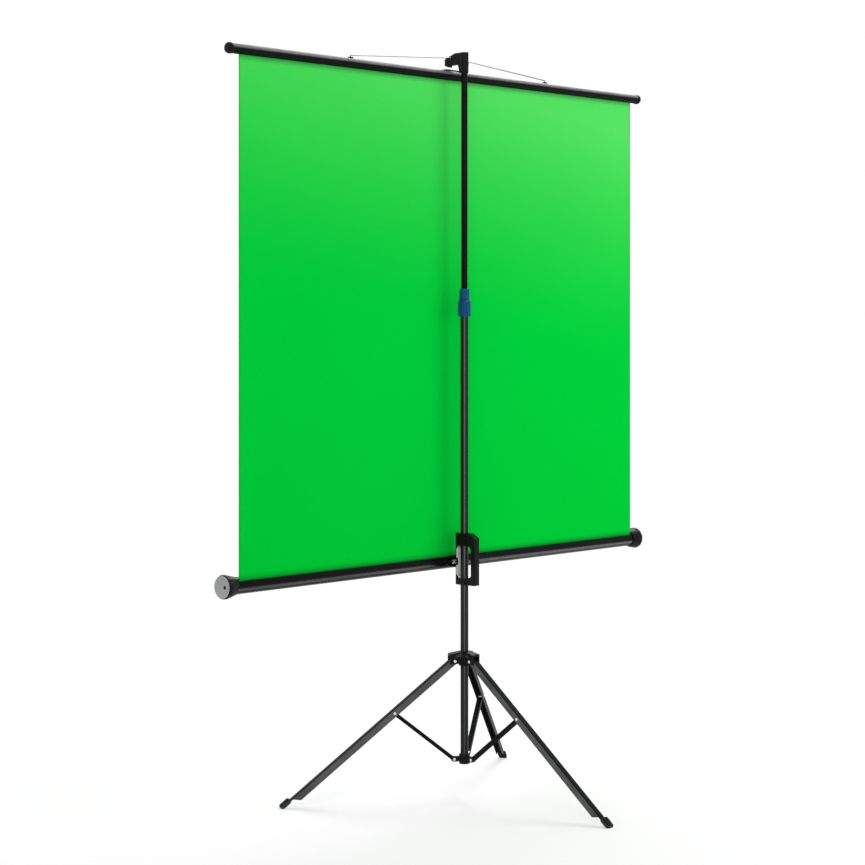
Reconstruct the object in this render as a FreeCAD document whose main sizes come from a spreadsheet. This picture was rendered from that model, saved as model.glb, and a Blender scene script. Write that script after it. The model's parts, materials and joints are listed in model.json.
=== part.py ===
import FreeCAD, Part
import math
import os

import Sketcher
from FreeCAD import Matrix, Placement, Rotation, Vector

# A portable screen on a folding tripod, in millimetres. The floor is z = 0, the mast
# stands on the Z axis, X runs along the screen and the sheet hangs on the +Y side.
SIZES = {
    # clearances
    "run_fit": 0.06,
    "seat_fit": 0.05,
    "side_play": 0.4,
    "sheet_gap": 0.3,
    "end_gap": 1.0,
    "over_cut": 1.0,
    # mast and its extension
    "mast_d": 25.0,
    "mast_wall": 1.2,
    "mast_foot": 109.0,
    "mast_len": 1461.0,
    "ext_d": 20.0,
    "ext_wall": 1.0,
    "ext_len": 1515.0,
    "ext_rise": 780.0,
    "glide_len": 30.0,
    # twist lock on the mast
    "lock_skirt": 46.0,
    "lock_skirt_wall": 1.9,
    "lock_head": 37.0,
    "lock_head_d": 32.0,
    "sleeve_d": 41.0,
    "sleeve_len": 51.0,
    "sleeve_edge": 3.0,
    "flute_d": 5.0,
    "flute_count": 12,
    # tripod linkage
    "pivot_ring": 36.0,
    "strut_pivot": 120.0,
    "leg_angle": 51.5,
    "knee_reach": 250.0,
    "pin_d": 5.0,
    "rivet_head_d": 9.0,
    "rivet_head": 1.8,
    "collar_head": 0.9,
    # legs, struts and feet
    "leg_w": 22.0,
    "leg_depth": 22.0,
    "leg_sheet": 1.4,
    "leg_bend": 3.5,
    "leg_ear": 9.0,
    "leg_tongue": 36.0,
    "leg_taper": 18.0,
    "strut_w": 16.0,
    "strut_depth": 12.0,
    "strut_sheet": 1.4,
    "strut_ear": 6.0,
    "strut_setback": 16.0,
    "foot_len": 38.0,
    "foot_w": 27.0,
    "foot_thick": 15.0,
    "foot_over": 10.0,
    "foot_round": 4.0,
    "foot_sole": 5.0,
    # collar at the mast's lower end
    "collar_d": 34.0,
    "collar_len": 30.0,
    "collar_floor": 5.0,
    "collar_nose_d": 16.0,
    # sliding hub
    "hub_core_d": 36.0,
    "hub_reach": 53.0,
    "hub_cheek": 4.4,
    "hub_roof": 15.6,
    "hub_drop": 9.0,
    "hub_shoulder": 22.0,
    "hub_top": 29.0,
    "hub_skirt": 16.0,
    # hook on top of the extension
    "hook_socket_d": 26.0,
    "hook_socket": 56.0,
    "hook_crown": 8.5,
    "beak_w": 18.0,
    "beak_flat": 33.0,
    "beak_nose": 78.0,
    "beak_nose_drop": 15.5,
    "beak_tip": 62.0,
    "beak_depth": 36.5,
    "beak_throat": 42.0,
    "hook_screw_d": 4.0,
    "hook_screw_head_d": 8.0,
    "hook_screw_head": 2.5,
    # bar, wire and grip
    "bar_d": 30.0,
    "bar_wall": 1.2,
    "bar_z": 2287.0,
    "bar_over": 29.0,
    "bar_slot": 4.0,
    "bar_cap_d": 33.0,
    "bar_cap": 16.0,
    "bar_cap_edge": 7.0,
    "bar_spigot": 18.0,
    "keder_d": 8.0,
    "wire_d": 3.0,
    "wire_span": 900.0,
    "wire_forward": 6.0,
    "wire_end_rise": 25.0,
    "wire_apex_drop": 13.5,
    "wire_flat": 26.0,
    "clip_w": 14.0,
    "clip_thick": 9.0,
    "clip_rise": 20.0,
    "grip_w": 70.0,
    "grip_reach": 36.0,
    "grip_rise": 20.0,
    "grip_lip": 9.0,
    # sheet and roller
    "screen_y": 46.0,
    "sheet_w": 1800.0,
    "sheet_thick": 0.5,
    "wrap_d": 32.0,
    "roller_d": 28.0,
    "roller_wall": 1.2,
    "roller_over": 6.0,
    "plug_len": 40.0,
    "plug_flange": 18.0,
    "shaft_d": 10.0,
    "shaft_len": 380.0,
    "motor_d": 24.0,
    "motor_len": 290.0,
    "motor_gap": 6.0,
    # case
    "case_z": 744.0,
    "case_d": 50.0,
    "case_wall": 1.0,
    "case_over": 32.0,
    "case_slot": 7.0,
    "case_slot_over": 5.0,
    "cap_d": 70.0,
    "cap_rim": 10.0,
    "cap_len": 41.0,
    "cap_mouth": 2.5,
    "cap_floor": 10.0,
    "cap_edge": 2.0,
    "notch_d": 7.0,
    "notch_count": 12,
    "disc_d": 65.0,
    "disc_thick": 2.0,
    "disc_hole_d": 9.0,
    "disc_hole_off": 13.0,
    # bracket that carries the case on the mast
    "frame_w": 32.0,
    "frame_above": 90.0,
    "frame_below": 73.0,
    "frame_top": 39.0,
    "frame_bottom": 20.0,
    "frame_plate": 4.0,
    "frame_spine": 8.0,
    "spine_end": 1.5,
    "frame_corner": 14.0,
    "grip_bar_w": 24.0,
    "grip_bar_depth": 20.0,
    "grip_bar_gap": 23.0,
    "grip_bar_round": 5.0,
    "saddle_w": 44.0,
    "saddle_tall": 34.0,
    "saddle_wrap": 14.0,
    "saddle_thick": 3.4,
    "bolt_d": 8.0,
    "bolt_head_d": 13.0,
    "bolt_head": 2.0,
    "nut_d": 13.0,
    "nut_thick": 3.5,
    "rocker_w": 32.0,
    "rocker_tall": 100.0,
    "rocker_waist": 18.0,
    "rocker_waist_tall": 24.0,
    "rocker_thick": 3.0,
    "rocker_gap": 4.6,
    "rocker_barrel_d": 10.0,
    "rocker_barrel": 24.0,
    "rocker_pin_d": 5.0,
    "rocker_lug": 4.0,
    "rocker_lug_tall": 14.0,
    "rocker_knob_d": 13.0,
    "rocker_knob": 14.0,
}

LEG_AZIMUTHS = {"rear": 270.0, "right": 30.0, "left": 150.0}
SIDES = {"left": -1, "right": 1}

UP = Vector(0, 0, 1)
ALONG_X = Vector(1, 0, 0)
ALONG_Y = Vector(0, 1, 0)


class Size:
    """A length that knows its value and the spreadsheet formula that gives it."""

    def __init__(self, formula, value):
        self.formula = formula
        self.value = value

    def __float__(self):
        return float(self.value)

    def __neg__(self):
        return Size(f"(-{self.formula})", -self.value)

    def __add__(self, other):
        return Size(f"({self.formula} + {formula_of(other)})", self.value + float(other))

    def __radd__(self, other):
        return Size(f"({formula_of(other)} + {self.formula})", float(other) + self.value)

    def __sub__(self, other):
        return Size(f"({self.formula} - {formula_of(other)})", self.value - float(other))

    def __rsub__(self, other):
        return Size(f"({formula_of(other)} - {self.formula})", float(other) - self.value)

    def __mul__(self, other):
        return Size(f"({self.formula} * {formula_of(other)})", self.value * float(other))

    def __rmul__(self, other):
        return Size(f"({formula_of(other)} * {self.formula})", float(other) * self.value)

    def __truediv__(self, other):
        return Size(f"({self.formula} / {formula_of(other)})", self.value / float(other))


def formula_of(number):
    """The spreadsheet formula of a Size, or a plain number as text."""
    return number.formula if isinstance(number, Size) else repr(float(number))


def cosine(angle):
    return Size(f"cos({angle.formula})", math.cos(math.radians(angle.value)))


def sine(angle):
    return Size(f"sin({angle.formula})", math.sin(math.radians(angle.value)))


def vec(x, y, z):
    return Vector(float(x), float(y), float(z))


doc = FreeCAD.newDocument("tripod_screen")
sheet = doc.addObject("Spreadsheet::Sheet", "sizes")
for row, (alias, number) in enumerate(SIZES.items(), start=1):
    sheet.set(f"A{row}", alias)
    sheet.set(f"B{row}", str(number))
    sheet.setAlias(f"B{row}", alias)
doc.recompute()


def size(alias):
    """One driving dimension, read from the spreadsheet."""
    return Size(f"sizes.{alias}", float(sheet.get(alias)))


d = {alias: size(alias) for alias in SIZES}
parts = []


def keep(obj, label):
    """Name a finished sub-part and put it on the list to write."""
    obj.Label = label
    parts.append(obj)
    return obj


def bind(obj, **sizes):
    """Tie properties to the spreadsheet."""
    for name, value in sizes.items():
        if isinstance(value, Size):
            obj.setExpression(name, value.formula)
        else:
            setattr(obj, name, value)
    return obj


def cylinder(radius, length, base, axis=UP):
    obj = bind(doc.addObject("Part::Cylinder", "cylinder"), Radius=radius, Height=length)
    obj.Placement = Placement(base, Rotation(UP, axis))
    return obj


def cone(low_radius, high_radius, height, base):
    obj = bind(doc.addObject("Part::Cone", "cone"), Radius1=low_radius, Radius2=high_radius, Height=height)
    obj.Placement = Placement(base, Rotation())
    return obj


def box(length, width, height, corner, frame=Placement()):
    """A box whose lowest corner is at corner, in the axes of frame."""
    obj = bind(doc.addObject("Part::Box", "box"), Length=length, Width=width, Height=height)
    obj.Placement = frame.multiply(Placement(corner, Rotation()))
    return obj


def fuse(*shapes):
    obj = doc.addObject("Part::MultiFuse", "fuse")
    obj.Shapes = list(shapes)
    obj.Refine = True
    return obj


def cut(base, *tools):
    obj = doc.addObject("Part::Cut", "cut")
    obj.Base = base
    obj.Tool = tools[0] if len(tools) == 1 else fuse(*tools)
    obj.Refine = True
    return obj


def common(first, second):
    obj = doc.addObject("Part::Common", "common")
    obj.Base = first
    obj.Tool = second
    obj.Refine = True
    return obj


def group(*shapes):
    obj = doc.addObject("Part::Compound", "group")
    obj.Links = list(shapes)
    return obj


def round_edges(base, radius, wanted):
    """Fillet the edges of base that the test picks."""
    doc.recompute()
    chosen = [i for i, edge in enumerate(base.Shape.Edges, start=1) if wanted(edge)]
    obj = doc.addObject("Part::Fillet", "round")
    obj.Base = base
    obj.Edges = [(i, float(radius), float(radius)) for i in chosen]
    return obj


def runs_along(edge, direction):
    """True for a straight edge that is parallel to direction."""
    if not isinstance(edge.Curve, Part.Line):
        return False
    return abs(edge.Curve.Direction.dot(direction)) > 0.999


def tube(outer_d, wall, length, base, axis=UP):
    """A tube as two cylinders, with the inner one cut out."""
    outer = cylinder(outer_d / 2, length, base, axis)
    inner = cylinder(outer_d / 2 - wall, length, base, axis)
    return cut(outer, inner)


def new_body(name):
    return doc.addObject("PartDesign::Body", name)


def sketch(body, role, offset=0.0):
    """A sketch on one of the body's own origin planes, moved along its normal."""
    plane = [p for p in body.Origin.OriginFeatures if getattr(p, "Role", "") == role][0]
    obj = body.newObject("Sketcher::SketchObject", "sketch")
    obj.AttachmentSupport = [(plane, "")]
    obj.MapMode = "FlatFace"
    obj.AttachmentOffset = Placement(vec(0, 0, offset), Rotation())
    return obj


def pin_point(sk, line, end, x, y):
    """Hold one point of a sketch at x, y from its origin."""
    for kind, axis, value in (("DistanceX", -2, x), ("DistanceY", -1, y)):
        if abs(float(value)) < 1e-9:
            sk.addConstraint(Sketcher.Constraint("PointOnObject", line, end, axis))
            continue
        index = sk.addConstraint(Sketcher.Constraint(kind, -1, 1, line, end, float(value)))
        if isinstance(value, Size):
            sk.setExpression(f"Constraints[{index}]", value.formula)


def polyline(sk, points, closed=True):
    """Straight lines through points, each held by its own two dimensions."""
    ends = points[1:] + points[:1] if closed else points[1:]
    for (x0, y0), (x1, y1) in zip(points, ends):
        sk.addGeometry(Part.LineSegment(vec(x0, y0, 0), vec(x1, y1, 0)))
    count = len(ends)
    for i in range(count if closed else count - 1):
        sk.addConstraint(Sketcher.Constraint("Coincident", i, 2, (i + 1) % count, 1))
    for i in range(count):
        pin_point(sk, i, 1, *points[i])
    if not closed:
        pin_point(sk, count - 1, 2, *points[-1])


def circle(sk, radius, x=0.0, y=0.0):
    line = sk.addGeometry(Part.Circle(vec(x, y, 0), UP, float(radius)))
    index = sk.addConstraint(Sketcher.Constraint("Radius", line, float(radius)))
    if isinstance(radius, Size):
        sk.setExpression(f"Constraints[{index}]", radius.formula)
    pin_point(sk, line, 3, x, y)


def pad(body, sk, length, both_ways=False):
    obj = body.newObject("PartDesign::Pad", "pad")
    obj.Profile = sk
    bind(obj, Length=length)
    if both_ways:
        obj.SideType = "Symmetric"
    return obj


def pocket(body, sk):
    """Cut a sketch right through the body, both ways."""
    obj = body.newObject("PartDesign::Pocket", "pocket")
    obj.Profile = sk
    obj.Type = "ThroughAll"
    obj.SideType = "Symmetric"
    return obj


def revolve(body, points):
    """Turn an outline of (radius, height) points about the body's Z axis."""
    sk = sketch(body, "XZ_Plane")
    polyline(sk, points)
    obj = body.newObject("PartDesign::Revolution", "revolve")
    obj.Profile = sk
    obj.ReferenceAxis = (sk, ["V_Axis"])
    obj.Angle = 360.0
    return obj


def polar(body, feature, count):
    """Repeat a feature round the body's Z axis."""
    z_axis = [a for a in body.Origin.OriginFeatures if getattr(a, "Role", "") == "Z_Axis"][0]
    obj = body.newObject("PartDesign::PolarPattern", "polar")
    obj.Originals = [feature]
    obj.Axis = (z_axis, [""])
    obj.Angle = 360.0
    bind(obj, Occurrences=count)
    body.Tip = obj
    return obj


def end_frame(side, x, y, z):
    """Axes of a piece on one end of the screen, its Z pointing inwards along X."""
    return Placement(vec(side * float(x), y, z), Rotation(UP, Vector(-side, 0, 0)))


# heights and places that several pieces share
knee_rise = d["knee_reach"] * cosine(d["leg_angle"])
hub_pivot = d["strut_pivot"] + 2 * knee_rise
mast_r = d["mast_d"] / 2
mast_top = d["mast_foot"] + d["mast_len"]
mast_bore_r = mast_r - d["mast_wall"]
ext_r = d["ext_d"] / 2
ext_top = d["ext_rise"] + d["mast_len"] + d["mast_foot"]
ext_foot = ext_top - d["ext_len"]
hook_top = ext_top + d["hook_crown"]
bar_r = d["bar_d"] / 2
bar_len = d["sheet_w"] + 2 * d["bar_over"]
roller_len = d["sheet_w"] + 2 * d["roller_over"]
case_len = roller_len + 2 * d["case_over"]
case_slot_len = d["sheet_w"] + 2 * d["case_slot_over"]
wire_r = d["wire_d"] / 2
wire_y = d["screen_y"] + d["wire_forward"]
wire_apex = hook_top - d["wire_apex_drop"]
case_r = d["case_d"] / 2
wrap_r = d["wrap_d"] / 2
case_y = d["screen_y"] + wrap_r + d["sheet_thick"] / 2 + d["sheet_gap"]
plate_front = case_y - case_r - d["saddle_thick"]
plate_back = plate_front - d["frame_plate"]
bolt_hole_r = d["bolt_d"] / 2 + d["seat_fit"]
pin_r = d["pin_d"] / 2
pin_hole_r = pin_r + d["run_fit"]


def leg_frame(azimuth, along=0.0, fold=1, start=None):
    """Axes on a leg or strut: X along it, Z its upper side, Y the pin direction."""
    a = math.radians(azimuth)
    tilt = math.radians(float(d["leg_angle"]))
    out = Vector(math.cos(a), math.sin(a), 0)
    x_axis = out * math.sin(tilt) - UP * (fold * math.cos(tilt))
    z_axis = out * (fold * math.cos(tilt)) + UP * math.sin(tilt)
    y_axis = z_axis.cross(x_axis)
    base = out * float(d["pivot_ring"]) + UP * float(start) + x_axis * float(along)
    turn = Matrix()
    turn.A11, turn.A21, turn.A31 = x_axis
    turn.A12, turn.A22, turn.A32 = y_axis
    turn.A13, turn.A23, turn.A33 = z_axis
    return Placement(base, Rotation(turn))


def spoke_frame(azimuth, height):
    """Axes at the mast: X points out along a leg, Y along its pins, Z up."""
    return Placement(vec(0, 0, height), Rotation(UP, azimuth))


def rivet(frame, grip, head):
    """A pin along the frame's Y axis with a flat head outside the grip at each end."""
    half = grip / 2
    along = frame.Rotation.multVec(ALONG_Y)
    shank = cylinder(pin_r, grip, frame.multVec(vec(0, -half, 0)), along)
    heads = [
        cylinder(d["rivet_head_d"] / 2, head, frame.multVec(vec(0, y, 0)), along)
        for y in (-half - head, half)]
    return fuse(shank, *heads)


def cross_hole(frame, radius, width):
    """A hole along the frame's Y axis through a piece of the given width."""
    return cylinder(radius, width, frame.multVec(vec(0, -width / 2, 0)), frame.Rotation.multVec(ALONG_Y))


def channel(body, width, depth, thick, start, length):
    """A folded channel along the body's X axis, its web on the +Z side."""
    half = width / 2
    top = depth / 2
    sk = sketch(body, "YZ_Plane", start)
    polyline(sk, [
        (-half, -top), (-half, top), (half, top), (half, -top),
        (half - thick, -top), (half - thick, top - thick),
        (thick - half, top - thick), (thick - half, -top),
    ])
    return pad(body, sk, length)


def build_leg(name, azimuth):
    """A folded channel leg with its knee pin and rubber foot."""
    frame = leg_frame(azimuth, start=hub_pivot)
    web_z = d["leg_depth"] / 2
    reach = (hub_pivot + (web_z - d["foot_thick"] / 2) * sine(d["leg_angle"]) + d["foot_sole"])
    leg_len = reach / cosine(d["leg_angle"]) - d["foot_over"]
    body = new_body("leg")
    bar = channel(body, d["leg_w"], d["leg_depth"], d["leg_sheet"], -d["leg_ear"], leg_len + d["leg_ear"])
    doc.recompute()
    bends = [
        f"Edge{i}" for i, edge in enumerate(body.Shape.Edges, start=1)
        if runs_along(edge, ALONG_X) and abs(edge.CenterOfMass.z - float(web_z)) < 0.01
    ]
    fold = body.newObject("PartDesign::Fillet", "fold")
    fold.Base = (bar, bends)
    bind(fold, Radius=d["leg_bend"])
    trim = sketch(body, "XZ_Plane")
    past = d["over_cut"]
    flange_end = leg_len - d["leg_tongue"]
    under_web = web_z - d["leg_bend"]
    polyline(trim, [
        (flange_end - d["leg_taper"], -web_z - past), (flange_end, under_web),
        (leg_len + past, under_web), (leg_len + past, -web_z - past),
    ])
    pocket(body, trim)
    holes = sketch(body, "XZ_Plane")
    circle(holes, pin_hole_r)
    circle(holes, pin_hole_r, d["knee_reach"])
    pocket(body, holes)
    body.Placement = frame
    keep(body, f"leg_{name}")

    knee = leg_frame(azimuth, along=d["knee_reach"], start=hub_pivot)
    keep(rivet(knee, d["leg_w"], d["rivet_head"]), f"knee_pin_{name}")

    boot = box(
        d["foot_len"], d["foot_w"], d["foot_thick"],
        vec(leg_len + d["foot_over"] - d["foot_len"], -d["foot_w"] / 2, web_z - d["foot_thick"] / 2), frame)
    down_leg = frame.Rotation.multVec(ALONG_X)
    boot = round_edges(boot, d["foot_round"], lambda edge: runs_along(edge, down_leg))
    seat = d["seat_fit"]
    pouch = box(
        d["foot_len"], d["leg_w"] + 2 * seat, d["leg_bend"] + 2 * seat,
        vec(leg_len - d["foot_len"] + seat, -d["leg_w"] / 2 - seat, under_web - seat), frame)
    sole = frame.multVec(vec(leg_len, 0, 0))
    floor = box(
        2 * d["foot_len"], 2 * d["foot_len"], d["foot_len"],
        vec(sole.x - float(d["foot_len"]), sole.y - float(d["foot_len"]), -d["foot_len"]))
    keep(cut(boot, pouch, floor), f"foot_{name}")


def build_strut(name, azimuth):
    """A narrow channel from the collar up to the leg, its web cut back at the pins."""
    body = new_body("strut")
    length = d["knee_reach"] + 2 * d["strut_ear"]
    channel(body, d["strut_w"], d["strut_depth"], d["strut_sheet"], -d["strut_ear"], length)
    top = d["strut_depth"] / 2
    end = d["strut_ear"] + d["over_cut"]
    for near, far in ((-end, d["strut_setback"]),
                      (d["knee_reach"] - d["strut_setback"], d["knee_reach"] + end)):
        web = sketch(body, "XY_Plane")
        inside = d["strut_w"] / 2 - d["strut_sheet"]
        polyline(web, [(near, -inside), (far, -inside), (far, inside), (near, inside)])
        pocket(body, web)
    holes = sketch(body, "XZ_Plane")
    circle(holes, pin_hole_r)
    circle(holes, pin_hole_r, d["knee_reach"])
    pocket(body, holes)
    ears = sketch(body, "XZ_Plane")
    nick = d["strut_ear"] / 2
    above = top + d["over_cut"]
    polyline(ears, [(-end, above), (-end, top - nick), (nick - d["strut_ear"], above)])
    pocket(body, ears)
    body.Placement = leg_frame(azimuth, fold=-1, start=d["strut_pivot"])
    keep(body, f"strut_{name}")


def build_collar():
    """The casting that closes the mast and holds the three struts."""
    foot = d["mast_foot"] - d["collar_floor"]
    tongue_w = d["strut_w"] - 2 * d["strut_sheet"] - 2 * d["side_play"]
    nose_r = d["collar_nose_d"] / 2
    solids = [cylinder(d["collar_d"] / 2, d["collar_len"], vec(0, 0, foot))]
    holes = [cylinder(mast_r + d["seat_fit"], d["collar_len"], vec(0, 0, d["mast_foot"]))]
    pins = []
    for azimuth in LEG_AZIMUTHS.values():
        frame = spoke_frame(azimuth, d["strut_pivot"])
        pivot = frame.multiply(Placement(vec(d["pivot_ring"], 0, 0), Rotation()))
        solids.append(box(d["pivot_ring"], tongue_w, 2 * nose_r, vec(0, -tongue_w / 2, -nose_r), frame))
        solids.append(cross_hole(pivot, nose_r, tongue_w))
        holes.append(cross_hole(pivot, pin_r + d["seat_fit"], d["strut_w"]))
        pins.append(rivet(pivot, d["strut_w"] + 2 * d["side_play"], d["collar_head"]))
    keep(cut(fuse(*solids), *holes), "foot_collar")
    keep(group(*pins), "collar_pins")


def build_hub():
    """The umbrella-shaped casting that slides on the mast and holds the legs."""
    inside = d["leg_w"] + 2 * d["side_play"]
    lug_w = inside + 2 * d["hub_cheek"]
    core_r = d["hub_core_d"] / 2
    low = hub_pivot - d["hub_drop"]
    crown = hub_pivot + d["hub_top"]
    shoulder = hub_pivot + d["hub_shoulder"]
    roof = hub_pivot + d["hub_roof"]
    solids = [cone(d["hub_reach"] - d["hub_cheek"], core_r, crown - roof, vec(0, 0, roof))]
    skirt_low = vec(0, 0, hub_pivot - d["hub_skirt"])
    hub_tall = d["hub_skirt"] + d["hub_top"]
    holes = [cylinder(mast_r + d["run_fit"], hub_tall, skirt_low)]
    pins = []
    for azimuth in LEG_AZIMUTHS.values():
        frame = spoke_frame(azimuth, hub_pivot)
        pivot = frame.multiply(Placement(vec(d["pivot_ring"], 0, 0), Rotation()))
        lug_corner = vec(0, -lug_w / 2, -d["hub_drop"])
        solids.append(box(d["hub_reach"], lug_w, d["hub_drop"] + d["hub_top"], lug_corner, frame))
        room_corner = vec(core_r, -inside / 2, -d["hub_skirt"])
        holes.append(box(d["hub_reach"], inside, d["hub_skirt"] + d["hub_roof"], room_corner, frame))
        holes.append(cross_hole(pivot, pin_r + d["seat_fit"], lug_w))
        pins.append(rivet(pivot, lug_w, d["rivet_head"]))
    outline = fuse(
        cylinder(d["hub_reach"], d["hub_drop"] + d["hub_shoulder"], vec(0, 0, low)),
        cone(d["hub_reach"], core_r, crown - shoulder, vec(0, 0, shoulder)))
    core = cylinder(core_r, hub_tall, skirt_low)
    keep(cut(fuse(common(fuse(*solids), outline), core), *holes), "leg_hub")
    keep(group(*pins), "hub_pins")


def build_mast():
    keep(tube(d["mast_d"], d["mast_wall"], d["mast_len"], vec(0, 0, d["mast_foot"])), "mast_tube")
    keep(tube(d["ext_d"], d["ext_wall"], d["ext_len"], vec(0, 0, ext_foot)), "extension_tube")
    glide_r = mast_bore_r - d["run_fit"]
    spigot_r = ext_r - d["ext_wall"] - d["seat_fit"]
    glide = fuse(
        cylinder(glide_r, d["glide_len"] / 2, vec(0, 0, ext_foot - d["glide_len"] / 2)),
        cylinder(spigot_r, d["glide_len"], vec(0, 0, ext_foot - d["glide_len"] / 2)))
    keep(glide, "extension_glide")


def build_lock():
    """The twist lock: a body on the mast's end and a fluted sleeve round its skirt."""
    skirt_r = mast_r + d["lock_skirt_wall"]
    head_r = d["lock_head_d"] / 2
    head_low = mast_top + d["lock_head"] / 2 - d["lock_head_d"] / 2
    skirt_low = head_low - d["lock_skirt"]
    head_high = skirt_low + d["lock_skirt"] + d["lock_head"]
    chamfer = d["sleeve_edge"]
    mast_seat = mast_r + d["seat_fit"]
    ext_bore = ext_r + d["run_fit"]
    shoulder = mast_top + d["seat_fit"]
    body = new_body("lock_body")
    revolve(body, [
        (mast_seat, skirt_low), (skirt_r, skirt_low), (skirt_r, head_low), (head_r, head_low),
        (head_r, head_high - chamfer), (head_r - chamfer, head_high), (ext_bore, head_high),
        (ext_bore, shoulder), (mast_seat, shoulder),
    ])
    keep(body, "lock_body")

    sleeve = new_body("lock_sleeve")
    bore_r = skirt_r + d["run_fit"]
    outer_r = d["sleeve_d"] / 2
    high = head_low - d["side_play"]
    low = high - d["sleeve_len"]
    revolve(sleeve, [
        (bore_r, low), (outer_r - chamfer, low), (outer_r, low + chamfer),
        (outer_r, high - chamfer), (outer_r - chamfer, high), (bore_r, high),
    ])
    flute = sketch(sleeve, "XY_Plane")
    circle(flute, d["flute_d"] / 2, outer_r + d["flute_d"] / 4)
    polar(sleeve, pocket(sleeve, flute), d["flute_count"])
    keep(sleeve, "lock_sleeve")


def build_hook():
    """The beaked hook on the extension, with a groove across it for the wire."""
    socket_r = d["hook_socket_d"] / 2
    socket_low = ext_top - d["hook_socket"]
    under = hook_top - d["beak_depth"]
    beak = new_body("beak")
    outline = sketch(beak, "YZ_Plane")
    polyline(outline, [
        (0.0, hook_top), (d["beak_flat"], hook_top), (d["beak_nose"], hook_top - d["beak_nose_drop"]),
        (d["beak_nose"], under), (d["beak_tip"], under - d["wire_d"] * 2), (d["beak_tip"], under),
        (d["beak_throat"] / 2, under), (socket_r, socket_low), (0.0, socket_low),
    ])
    pad(beak, outline, d["beak_w"], both_ways=True)
    socket = cylinder(socket_r, d["hook_socket"] + d["hook_crown"], vec(0, 0, socket_low))
    bore = cylinder(ext_r + d["seat_fit"], d["hook_socket"], vec(0, 0, socket_low))
    groove_r = wire_r + d["seat_fit"]
    width = d["hook_socket_d"]
    seat = cylinder(groove_r, width, vec(-width / 2, wire_y, wire_apex), ALONG_X)
    mouth = box(width, 2 * groove_r, d["wire_apex_drop"], vec(-width / 2, wire_y - groove_r, wire_apex))
    screw_z = ext_top - d["hook_socket"] / 2
    screw_r = d["hook_screw_d"] / 2
    screw_hole = cylinder(screw_r + d["seat_fit"], socket_r, vec(0, -socket_r, screw_z), ALONG_Y)
    keep(cut(fuse(beak, socket), bore, seat, mouth, screw_hole), "top_hook")
    screw_start = vec(0, -socket_r - d["hook_screw_head"], screw_z)
    screw_len = d["hook_screw_head"] + socket_r - ext_r - d["seat_fit"]
    head = cylinder(d["hook_screw_head_d"] / 2, d["hook_screw_head"], screw_start, ALONG_Y)
    shank = cylinder(screw_r, screw_len, screw_start, ALONG_Y)
    keep(fuse(head, shank), "hook_screw")


def build_bar():
    """The bar that stretches the sheet, with its end caps, wire hanger and pull grip."""
    half = bar_len / 2
    y = d["screen_y"]
    z = d["bar_z"]
    slot = box(bar_len, d["bar_slot"], bar_r, vec(-half, y - d["bar_slot"] / 2, z - bar_r - d["over_cut"]))
    keep(cut(tube(d["bar_d"], d["bar_wall"], bar_len, vec(-half, y, z), ALONG_X), slot), "top_bar")
    cap_r = d["bar_cap_d"] / 2
    spigot_r = bar_r - d["bar_wall"] - d["seat_fit"]
    edge = d["bar_cap_edge"]
    for side_name, side in SIDES.items():
        cap = new_body("bar_cap")
        revolve(cap, [
            (0.0, 0.0), (cap_r - edge, 0.0), (cap_r - edge / 4, edge / 3), (cap_r, edge),
            (cap_r, d["bar_cap"]), (spigot_r, d["bar_cap"]), (spigot_r, d["bar_cap"] + d["bar_spigot"]),
            (0.0, d["bar_cap"] + d["bar_spigot"]),
        ])
        cap.Placement = end_frame(side, half + d["bar_cap"], y, z)
        keep(cap, f"bar_cap_{side_name}")

    keder_r = d["keder_d"] / 2
    keder_len = bar_len - 2 * d["bar_spigot"] - 2 * d["end_gap"]
    keder_z = z - bar_r + d["bar_wall"] + keder_r
    rod = cylinder(keder_r, keder_len, vec(-keder_len / 2, y, keder_z), ALONG_X)
    slit_w = d["sheet_thick"] + 2 * d["seat_fit"]
    slit = box(keder_len, slit_w, keder_r, vec(-keder_len / 2, y - slit_w / 2, keder_z - keder_r))
    keep(cut(rod, slit), "fabric_keder")

    build_hanger(y, z)
    grip = new_body("grip")
    outline = sketch(grip, "YZ_Plane")
    polyline(outline, [
        (y, z), (y, z + d["grip_rise"]), (y + d["grip_reach"] - d["grip_lip"], z + d["grip_rise"]),
        (y + d["grip_reach"], z + d["grip_rise"] - d["grip_lip"]),
        (y + d["grip_reach"] - d["grip_lip"] / 2, z + d["grip_lip"] / 2), (y + bar_r, z),
    ])
    pad(grip, outline, d["grip_w"], both_ways=True)
    bar_room = cylinder(bar_r + d["seat_fit"], d["grip_w"], vec(-d["grip_w"] / 2, y, z), ALONG_X)
    keep(cut(grip, bar_room), "pull_grip")


def build_hanger(y, z):
    """The bent wire that hangs the bar on the hook, and its two clips on the bar."""
    reach = d["wire_span"] / 2
    end_high = z + d["wire_end_rise"]
    end_low = z + bar_r
    wire = new_body("wire")
    path = sketch(wire, "XZ_Plane", -wire_y)
    polyline(path, [
        (-reach, end_low), (-reach, end_high), (-d["wire_flat"] / 2, wire_apex),
        (d["wire_flat"] / 2, wire_apex), (reach, end_high), (reach, end_low),
    ], closed=False)
    section = sketch(wire, "XY_Plane", end_low)
    circle(section, wire_r, -reach, wire_y)
    pipe = wire.newObject("PartDesign::AdditivePipe", "pipe")
    pipe.Profile = section
    pipe.Spine = path
    pipe.Transition = "Round corner"
    keep(wire, "hanger_wire")
    for side_name, side in SIDES.items():
        x = reach * side
        corner = vec(x - d["clip_w"] / 2, wire_y - d["clip_thick"] / 2, z)
        block = box(d["clip_w"], d["clip_thick"], d["clip_rise"], corner)
        eye = cylinder(wire_r + d["seat_fit"], d["clip_rise"], vec(x, wire_y, end_low))
        bar_room = cylinder(bar_r + d["seat_fit"], d["clip_w"], vec(x - d["clip_w"] / 2, y, z), ALONG_X)
        keep(cut(block, eye, bar_room), f"wire_clip_{side_name}")


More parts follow.
